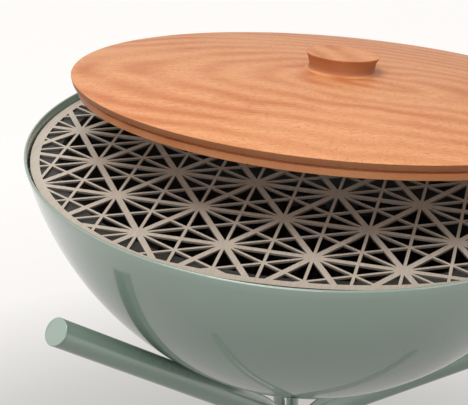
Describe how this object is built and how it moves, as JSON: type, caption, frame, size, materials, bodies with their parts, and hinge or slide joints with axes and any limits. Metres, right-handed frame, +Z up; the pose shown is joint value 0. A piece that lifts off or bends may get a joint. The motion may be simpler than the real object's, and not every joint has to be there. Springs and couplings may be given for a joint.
{
  "type": "barbecue grill",
  "caption": "Charcoal barbecue grill: a round steel bowl cradled in bent tubes, with a star-pattern cooking grate and a domed wooden lid with a turned knob.",
  "frame": {"origin": "on the floor, under the middle of the object's plan", "axes": "+Z up; +X to the right and -Y towards the viewer as the grill is seen from its front"},
  "size_m": [0.6508, 0.6617, 0.7233],
  "materials": {
    "bowl_paint": "glossy sage-green enamel",
    "stand_paint": "glossy sage-green enamel",
    "grate_steel": "brushed stainless steel",
    "bail_steel": "bright round rod",
    "pan_enamel": "black heat-proof enamel",
    "coal_grate_steel": "dark heat-scaled steel",
    "bracket_paint": "sage-green enamel",
    "wood_top": "satin oiled reddish hardwood",
    "wood_core": "darker hardwood, matt",
    "wood_lower": "satin oiled reddish hardwood",
    "wood_knob": "satin oiled reddish hardwood",
    "fastener_steel": "plain zinc-grey steel",
    "glide_plastic": "black moulded plastic"
  },
  "bodies": {
    "stand": {"leg_tube_front_left": "stand_paint", "arm_cap_front_left": "stand_paint", "foot_glide_front_left": "glide_plastic", "leg_tube_right": "stand_paint", "arm_cap_right": "stand_paint", "foot_glide_right": "glide_plastic", "leg_tube_back": "stand_paint", "arm_cap_back": "stand_paint", "foot_glide_back": "glide_plastic", "waist_welds": "stand_paint"},
    "bowl": {"bowl_shell": "bowl_paint", "pan_bracket_1": "bracket_paint", "pan_bracket_2": "bracket_paint", "pan_bracket_3": "bracket_paint", "pan_bracket_4": "bracket_paint", "pan_bracket_5": "bracket_paint", "pan_bracket_6": "bracket_paint"},
    "fire_pan": {"fire_pan": "pan_enamel"},
    "charcoal_grate": {"charcoal_grate": "coal_grate_steel", "charcoal_grate_legs": "coal_grate_steel"},
    "cooking_grate": {"cooking_grate": "grate_steel", "bail_ears": "grate_steel"},
    "bail": {"lifting_bail": "bail_steel"},
    "lid": {"lid_upper_board": "wood_top", "lid_core": "wood_core", "lid_lower_board": "wood_lower", "lid_screws": "fastener_steel", "lid_knob": "wood_knob", "knob_screw": "fastener_steel", "knob_washer": "fastener_steel"}
  },
  "joints": [
    {"name": "bowl_lift", "type": "slide", "parent": "stand", "child": "bowl", "axis": [0, 0, 1], "range_m": [0, 0.3]},
    {"name": "pan_lift", "type": "slide", "parent": "bowl", "child": "fire_pan", "axis": [0, 0, 1], "range_m": [0, 0.25]},
    {"name": "charcoal_grate_lift", "type": "slide", "parent": "fire_pan", "child": "charcoal_grate", "axis": [0, 0, 1], "range_m": [0, 0.1]},
    {"name": "grate_lift", "type": "slide", "parent": "fire_pan", "child": "cooking_grate", "axis": [0, 0, 1], "range_m": [0, 0.25]},
    {"name": "bail_fold", "type": "hinge", "parent": "cooking_grate", "child": "bail", "pos_m": [-0.02585, -0.03131, 0.62827], "axis": [1, 0, 0], "range_deg": [0, 98]},
    {"name": "lid_lift", "type": "slide", "parent": "cooking_grate", "child": "lid", "axis": [0, 0, 1], "range_m": [0, 0.25]}
  ]
}
